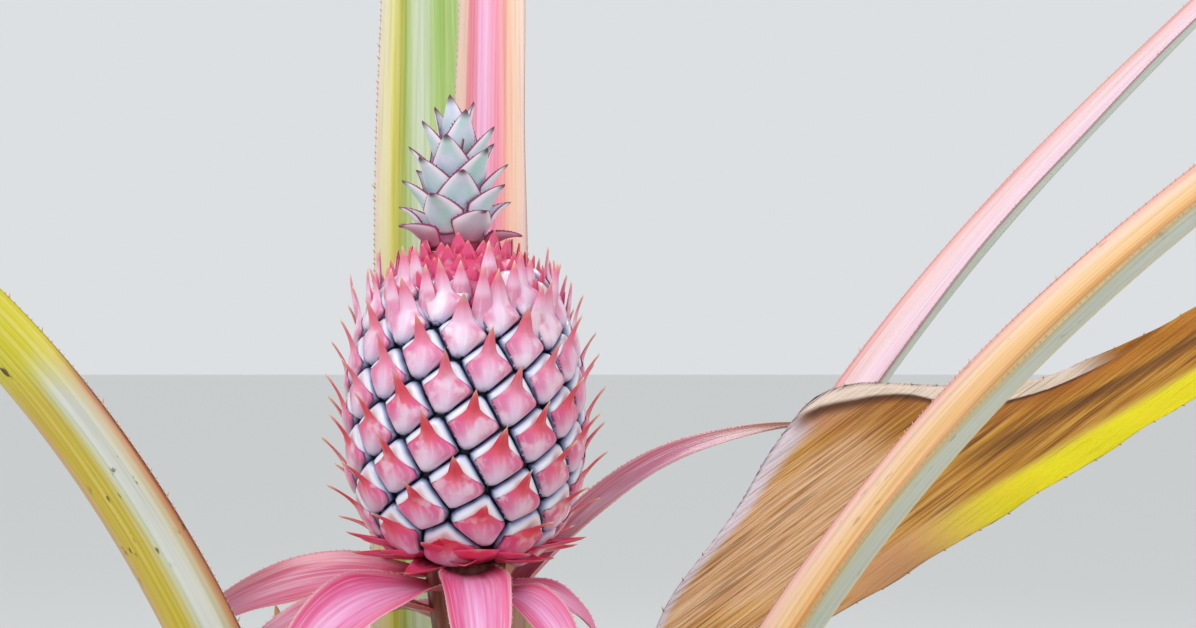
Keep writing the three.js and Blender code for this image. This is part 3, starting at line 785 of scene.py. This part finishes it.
def fruit_radius(z):
    """The fruit's radius at a height above its foot: two squared half ovals that meet at the waist. Each is
    the square root of 1 less a power of how far up or down its reach the height lies."""
    reach = np.where(z < FRUIT_WAIST, FRUIT_LOWER_REACH, FRUIT_UPPER_REACH)
    return FRUIT_RADIUS * np.sqrt(np.maximum(0, 1 - (np.abs(z - FRUIT_WAIST) / reach) ** FRUIT_SQUARENESS))


def fruitlets():
    """Where each fruitlet sits: a golden angle on from the last, and far enough up to have its patch of
    skin. Gives centres, outward, upward and sideways directions, height shares and sizes."""
    eyes = []
    step, share = 0.05, 1
    z = EYE_FIRST_HEIGHT
    while z < EYE_LAST_OPEN:
        slope = float(fruit_radius(z + step) - fruit_radius(z)) / step
        area = EYE_AREA * (1 - EYE_TOP_SHRINK * (z / FRUIT_HEIGHT) ** 2.5)
        if share >= 1:
            eyes.append((z, EYE_SPIRAL_START + len(eyes) * GOLDEN_ANGLE, slope, math.sqrt(area / EYE_AREA)))
            share -= 1
        share += 2 * math.pi * float(fruit_radius(z)) * math.hypot(1, slope) * step / area
        z += step
    z, heading, slope, size = np.array(eyes).T
    radial = direction(90, heading)
    up = unit(radial * slope[:, None] + [0, 0, 1])
    beside = np.stack([-radial[:, 1], radial[:, 0], 0 * z], -1)
    out = np.cross(beside, up)
    centre = radial * fruit_radius(z)[:, None] + np.outer(FRUIT_BASE + z, [0, 0, 1])
    return dict(centre=centre, out=out, up=up, beside=beside, height=z / FRUIT_HEIGHT, size=size)


def cell_share(eyes, x, y):
    """How far out a point in a fruitlet's own plane lies: 0 at its middle and 1 half way to its neighbours.
    It is the largest, over the neighbours, of how far the point has come towards them. High powers smooth
    it, which rounds the corners between neighbours."""
    gap = eyes["centre"][None] - eyes["centre"][:, None]
    right = (gap * eyes["beside"][:, None]).sum(-1)
    above = (gap * eyes["up"][:, None]).sum(-1)
    apart = right ** 2 + above ** 2
    near = (apart > 1) & (np.linalg.norm(gap, axis=-1) < 40)
    total = (np.hypot(x, y) / EYE_ROUNDNESS) ** EYE_CORNER_SHARPNESS
    spread = (slice(None),) + (None,) * (x.ndim - 1)
    for j in range(gap.shape[1]):
        towards = x * right[:, j][spread] + y * above[:, j][spread]
        reach = np.where(near[:, j], 2 / np.maximum(apart[:, j], 1), 0)[spread]
        total = total + np.maximum(towards * reach, 0) ** EYE_CORNER_SHARPNESS
    return total ** (1 / EYE_CORNER_SHARPNESS) / (1 - GROOVE_HALF_WIDTH)


def dome_height(s):
    """A fruitlet's height above the skin at a share s of its reach: nearly flat, then down to the groove, by
    the square root of 1 less s to the power 12."""
    return mix(-GROOVE_DEPTH, DOME_RISE, np.maximum(0, 1 - s ** 12) ** 0.5)


def on_fruit(eyes, k, x, y, outward):
    """Points at distances sideways, up and out from fruitlet k's centre."""
    points = eyes["centre"][k]
    for key, distance in (("beside", x), ("up", y), ("out", outward)):
        points = points + np.multiply.outer(distance, eyes[key][k])
    return points


def make_domes(eyes, finishes):
    """The fruitlets' domes, each of rings out from its middle, over a near-black core, painted shade, that
    closes the grooves.
    """
    surface = Surface()
    heights = np.linspace(0.5, FRUIT_HEIGHT - 0.4, 60)
    core = turned(FRUIT_BASE + heights, np.maximum(fruit_radius(heights) - GROOVE_DEPTH + 0.9, 6), 72)
    add_turned(surface, core, 1)
    sides = 30
    s = np.array([0.35, 0.55, 0.7, 0.81, 0.89, 0.94, 0.975, 1])[:, None]
    angles = np.arange(sides) * 2 * math.pi / sides
    toward = np.broadcast_to(angles, (len(eyes["size"]), sides))
    reach = 1 / cell_share(eyes, np.cos(toward), np.sin(toward))
    for k in range(len(reach)):
        x = s * reach[k] * np.cos(angles)
        y = s * reach[k] * np.sin(angles)
        crease = 0.9 * np.exp(-(x / 1.1) ** 2) * smoothstep(y / 3) * (1 - s ** 4)
        lift = dome_height(s) - (x ** 2 + y ** 2) / (2 * FRUIT_RADIUS) - crease
        points = on_fruit(eyes, k, x, y, lift)[::-1]
        share = np.append(s[::-1, 0], 0)
        top = on_fruit(eyes, k, 0, 0, DOME_RISE)
        surface.add_blade(points, top, np.linspace(0, 1, sides + 1), share, share)
    surface.make("fruitlets", "fruit", finishes, ["fruit"])


def half_width_at(eyes, y, sign):
    """How far each fruitlet reaches to one side at heights y in its own plane, found by halving."""
    low, high = np.zeros_like(y), np.full_like(y, EYE_ROUNDNESS)
    for _ in range(7):
        middle = (low + high) / 2
        inside = cell_share(eyes, sign * middle, y) < 1
        low, high = np.where(inside, middle, low), np.where(inside, high, middle)
    return low


def bract_outline(eyes):
    """Each bract's outline in its fruitlet's own plane: how far down and up it reaches, heights between them,
    and its half widths to the right and the left there. It fills its dome's lower half and narrows in a
    hollow curve to a tongue that ends in a hair, and is fuller on the fruit's upper bracts."""
    size, height = eyes["size"][:, None], eyes["height"][:, None]
    low = 1 / cell_share(eyes, 0 * size, -np.ones(size.shape))
    longer = mix(1, 1.3, smoothstep((height - 0.6) / 0.4))
    tip = BRACT_REACH * size * longer * chance.uniform(0.9, 1.05, size.shape)
    y = mix(-BRACT_COVER * low, tip, np.linspace(0, 1, BRACT_ROWS, endpoint=False) ** 1.1)
    narrow = 3.7 * np.maximum(0, 1 - y / (0.9 * tip)) ** 0.75
    full = 4.3 * np.maximum(0, 1 - np.maximum(0, y / (0.97 * tip)) ** 2)
    tongue = mix(narrow, full, smoothstep((height - 0.55) / 0.3)) + 0.42 * (1 - y / tip)
    tongue = tongue * chance.uniform(0.85, 1.15, size.shape)
    shoulder = np.clip(1 - y / (0.5 * low), 0, 1) ** 1.5
    sides = [half_width_at(eyes, np.minimum(y, 0), sign) for sign in (1, -1)]
    halves = [np.where(y < 0, side, np.maximum(tongue, mix(tongue, side, shoulder))) for side in sides]
    return low, tip, y, *halves


def make_bracts(eyes, finish):
    """The fruitlets' bracts. Each lies on its dome's lower half, and its tongue curves off outwards, with a
    keel along its middle and a bend to one side that grows by the square of the height."""
    u = np.concatenate([ACROSS_FEW, ACROSS_FEW[-2:0:-1]])
    under = np.arange(len(u)) >= len(ACROSS_FEW)
    low, tip, y, right, left = (part[..., None] for part in bract_outline(eyes))
    bent = BRACT_SWAY * chance.uniform(-1, 1, tip.shape)
    x = bent * np.maximum(0, y / tip) ** 2 - u * np.where(u > 0, left, right) * BRACT_COVER
    y = y + 0 * x
    s = np.minimum(cell_share(eyes, x, y), 1)
    on_dome = dome_height(s) - (x ** 2 + y ** 2) / (2 * FRUIT_RADIUS) + 0.55
    rising = np.clip((y - 0.1 * low) / (tip - 0.1 * low), 0, 1)
    free = mix(DOME_RISE + 0.5, BRACT_STAND_OFF, rising ** 1.6) - 0.3 * np.abs(x) * (1 - rising)
    keel = 0.8 * (1 - np.abs(u)) ** 1.5 * smoothstep((y + low) / low)
    outward = np.maximum(on_dome, mix(on_dome, free, smoothstep((y + 0.05 * low) / (0.4 * low)))) + keel
    outward = outward - np.where(under, 0.6 * (1 - u ** 2), 0)
    tones = {"fruit_bracts": "rosy", "middle_fruit_bracts": "blushed", "upper_fruit_bracts": "pale"}
    surfaces = [Surface() for _ in tones]
    for k in range(len(low)):
        points = on_fruit(eyes, k, x[k], y[k], outward[k])
        end = on_fruit(eyes, k, bent[k, 0, 0], tip[k, 0, 0], BRACT_STAND_OFF)
        share = (np.append(y[k, :, 0], tip[k]) + low[k, 0]) / (tip[k, 0] + low[k, 0])
        zone = np.searchsorted(BRACT_ZONES, eyes["height"][k])
        surfaces[zone].add_blade(points, end, round_map_of(ACROSS_FEW), share, share)
    for surface, (name, tone) in zip(surfaces, tones.items()):
        surface.make(name, "fruit", [finish[tone]])


def make_ruffs(finish):
    """Rings of bracts round the fruit: pale upright ones on its rim, short ones on a pink cap under the
    crown, and a skirt with two broad ones at its foot. They follow the golden angle and grow shorter."""
    tones = {"rim": "pale", "heart": "heart", "skirt": "skirt"}
    surfaces = {ring: Surface() for ring in tones}
    cap = np.linspace(CAP_FOOT, FRUIT_HEIGHT - 0.2, 12)
    add_turned(surfaces["heart"], turned(FRUIT_BASE + cap, fruit_radius(cap) - CAP_INSET, 48))
    for ring, count, heights, radii, leans, length, width, first in RUFFS:
        for k in range(count):
            share = k / (count - 1)
            heading = first + k * GOLDEN_ANGLE
            long = length * (1 + 0.12 * math.sin(k * 2.1)) * mix(1, 0.8, share)

            def shape(t):
                return dict(
                    lean=mix(*leans, share) - 12 * t + 3 * math.sin(k * 1.3),
                    heading=heading,
                    roll=8 * math.sin(k * 1.9),
                    half_width=width / 2 * mix(0.75, 1, smoothstep(t / 0.3)) * (1 - t ** 1.8),
                    channel=0.6,
                    thickness=0.8 * (1 - 0.5 * t),
                )
            start = spot(heading, mix(*radii, share), FRUIT_BASE + mix(*heights, share))
            add_leaf(surfaces[ring], start, long, shape, RUFF_ROWS, ACROSS_FEW, long)
    for ring, tone in tones.items():
        surfaces[ring].make(f"{ring}_bracts", "fruit", [finish[tone]])


def fruit_bract_finish(name, stops, streak, tint):
    """A fruitlet's bract, coloured from its foot in the groove to its tip, with painted highlights in pale
    streaks and spots.
    """
    finish = Finish(f"fruit {name} bract", 0.34, coat_weight=0.35, coat_roughness=0.2)
    share = finish.share()
    streaks = finish.noise(finish.map(), (9, 2, 1), 3)
    body = (share + (streaks - 0.5) * 0.12).ramp(stops)
    across = finish.across()
    middle = across.between(0.2, 0.45) * (1 - across.between(0.55, 0.8))
    rim = (1 - middle) * share.between(0.05, 0.3) * (1 - share.between(0.45, 0.6))
    edged = (rim * 0.6).blend(body, tint)
    # Painted highlight: pale streaks, then pale spots on the lower part, in the colour streak stand for gloss
    # on the bract.
    streak_highlights = (streaks.between(0.5, 0.72) * 0.5 * (1 - share.between(0.35, 0.6))).blend(edged, streak)
    patches = finish.noise(finish.place(), 130, 3)
    mottled = (patches.between(0.52, 0.66) * (1 - share.between(0.45, 0.7)) * 0.6).blend(streak_highlights, streak)
    return finish.paint(mottled, streaks, 0.25, 0.0006)


def make_fruit():
    """The fruit: domes with white sepals, painted lavender and navy shade at their rims, dark grooves between
    them painted as shade, and a pointed bract on each.
    """
    sepal = Finish("fruit sepal", 0.3, coat_weight=0.4, coat_roughness=0.2)
    share = sepal.share()
    mottle = sepal.noise(sepal.place(), 260, 3)
    # Painted shade: past 0.89 of the reach the sepals turn lavender, then navy and nearly black, for the
    # shade that falls into the grooves.
    face = (share + (mottle - 0.5) * 0.06).ramp({
        0: "e9b8d2", 0.3: "f6eefa", 0.78: "f4f4fd", 0.89: "ccd4ee", 0.95: "8088b0", 0.98: "1c2236"})
    sepal.paint(face, mottle, 0.15, 0.0004)
    # Painted shade: the near-black core stands for the shade deep in the grooves.
    groove = plain_finish("painted groove shade", "0b0e16", "181c2c", 300, 0.7)
    # Each tone's streak is the colour of its painted highlights.
    bracts = {
        "rosy": dict(
            stops={0: "b8a8d0", 0.06: "dcc8e4", 0.2: "e8c2e2", 0.3: "eaa6cc", 0.4: "ec7ea6", 0.5: "ea5a74",
                0.66: "e8425a", 0.8: "ea5062", 0.92: "eea490", 1: "f2dcbc"},
            streak="f0d8ec", tint="d83c86"),
        "blushed": dict(
            stops={0: "b8aad2", 0.06: "dccae8", 0.2: "eecaea", 0.32: "f2bee0", 0.46: "f2a2c6", 0.6: "f07c9e",
                0.78: "ee6682", 0.9: "ec9088", 1: "f0dcbe"},
            streak="f6e2f4", tint="dc4088"),
        "pale": dict(
            stops={0: "b8acd4", 0.06: "dccdea", 0.2: "f2d6f0", 0.45: "fad6f0", 0.66: "f6b4d6", 0.82: "ee7a9a",
                0.92: "eca094", 1: "f0dcc0"},
            streak="faeef8", tint="e0468c"),
        "heart": dict(
            stops={0: "d42260", 0.3: "e63a78", 0.6: "ea5088", 0.85: "ea4a78", 1: "dc9080"},
            streak="f6c4d8", tint="d02060"),
        "skirt": dict(
            stops={0: "c81e48", 0.3: "e8305e", 0.6: "f05a8a", 0.85: "ea3a66", 1: "d8806a"},
            streak="f090b4", tint="c01c50"),
    }
    finish = {name: fruit_bract_finish(name, **colours) for name, colours in bracts.items()}
    eyes = fruitlets()
    make_domes(eyes, [sepal.material, groove])
    make_bracts(eyes, finish)
    make_ruffs(finish)


def crown_finish():
    """A crown leaf: a grey-green to lilac face between thin maroon margins, with a dark tip. The crown is
    flushed with pink at its foot."""
    finish = Finish("crown leaf", 0.5, coat_weight=0.15, coat_roughness=0.3)
    across, share = finish.across(), finish.share()
    mottle = finish.noise(finish.place(), 120, 4)
    face = mottle.ramp({0.3: "b4dcd6", 0.45: "c8e2e4", 0.58: "d8e2f2", 0.72: "ece8f8"})
    from_margin = 1 - (across * 0.5).ramp({0: 0, 0.25: 1, 0.5: 0, 0.75: 1, 1: 0})
    pale = from_margin.between(0.35, 0.8).blend(face, "f4e8f6")
    edged = from_margin.between(0.86, 0.94).blend(pale, "94305a")
    tipped = share.between(0.82, 0.98).blend(edged, "5c2a40")
    height = finish.any.node("ShaderNodeSeparateXYZ", (), {0: finish.place()}, output=2)
    flushed = (height.between(0.556, 0.547) * 0.75).blend(tipped, "c04880")
    return finish.paint(flushed, mottle, 0.2, 0.0005)


def make_crown():
    """The crown: short pointed leaves on a core, the lowest spread out and the last ones upright. Each is
    widest at two fifths of its length. Their spiral winds the other way from the fruit's."""
    base = FRUIT_BASE + FRUIT_HEIGHT + GAP
    middle = np.array([CROWN_SHIFT, 0, 0])
    surface, teeth = Surface(), Surface()
    heights = np.linspace(base, base + 0.7 * CROWN_HEIGHT, 12)
    core = turned(heights, mix(CROWN_CORE_RADIUS - 1, 3, (heights - base) / CROWN_HEIGHT), 24)
    add_turned(surface, core + middle, 1)
    for k in range(CROWN_LEAVES):
        t = k / (CROWN_LEAVES - 1)
        heading = CROWN_START - k * GOLDEN_ANGLE

        def shape(s):
            diamond = np.minimum(mix(0.62, 1, smoothstep(s / 0.4)), ((1 - s) / 0.6) ** 0.85)
            return dict(
                lean=7 + 26 * (1 - t ** 5) + 38 * (1 - t) ** 7 + 56 * (1 - t) * (s - 0.5),
                heading=heading,
                half_width=mix(*CROWN_HALF_WIDTHS, t) * diamond,
                channel=0.75,
                thickness=1 - 0.5 * s,
            )
        height = mix(base + 0.5, base + 0.56 * CROWN_HEIGHT, t ** 1.1)
        start = middle + spot(heading, mix(CROWN_CORE_RADIUS - 1, 1, t ** 1.5), height)
        length = mix(*CROWN_LENGTHS, t ** 0.8)
        rings = add_leaf(surface, start, length, shape, CROWN_ROWS, ACROSS, length)
        add_spines(teeth, rings[4:-2], CROWN_SPINE_PITCH, CROWN_SPINE_LENGTH)
    inside = plain_finish("crown core", "9a4068", "b8688c", 150, 0.5)
    surface.make("fine_crown", "crown", [crown_finish(), inside], ["crown"])
    spine = flat_finish("crown spines", 0.5, colour("8a4a5c"))
    teeth.make("spines_of_crown", "crown", [spine], smooth=False)


def make_stage():
    """A plain pale floor, soft lights, and a camera at the photograph's angle."""
    bpy.ops.mesh.primitive_plane_add(size=40)
    floor = bpy.context.object
    floor.name = "floor"
    floor.location.z = -0.0005
    floor.data.materials.append(flat_finish("pale floor", 0.9, (0.8, 0.8, 0.78, 1)))

    world = bpy.data.worlds.new("studio")
    world.use_nodes = True
    sky = world.node_tree.nodes["Background"].inputs
    sky["Color"].default_value = (0.9, 0.93, 0.96, 1)
    sky["Strength"].default_value = 0.8
    scene = bpy.context.scene
    scene.world = world
    scene.view_settings.view_transform = "Standard"

    lights = [
        ("key light", (-1.1, -1.6, 2.2), 1.4, 26),
        ("fill light", (1.9, -1.2, 1.1), 1.6, 6),
        ("back light", (0.6, 1.8, 2.2), 1.2, 14),
    ]
    for name, place, size, power in lights:
        lamp = bpy.data.lights.new(name, "AREA")
        lamp.shape = "DISK"
        lamp.size = size
        lamp.energy = power
        holder = bpy.data.objects.new(name, lamp)
        holder.location = place
        away = np.array(place) - LIGHT_AIM
        yaw = math.atan2(away[0], -away[1])
        tilt = math.atan2(math.hypot(away[0], away[1]), away[2])
        holder.rotation_euler = (tilt, 0, yaw)
        bpy.context.collection.objects.link(holder)

    lens = bpy.data.cameras.new("camera")
    lens.sensor_width = SENSOR_WIDTH
    lens.lens = SENSOR_WIDTH * -CAMERA_PLACE[1] / VIEW_WIDTH
    camera = bpy.data.objects.new("camera", lens)
    camera.location = np.array(CAMERA_PLACE) * MM
    camera.rotation_euler = (math.radians(90), 0, 0)
    bpy.context.collection.objects.link(camera)
    scene.camera = camera


make_stage()
make_leaves()
make_stem()
make_collar()
make_fruit()
make_crown()
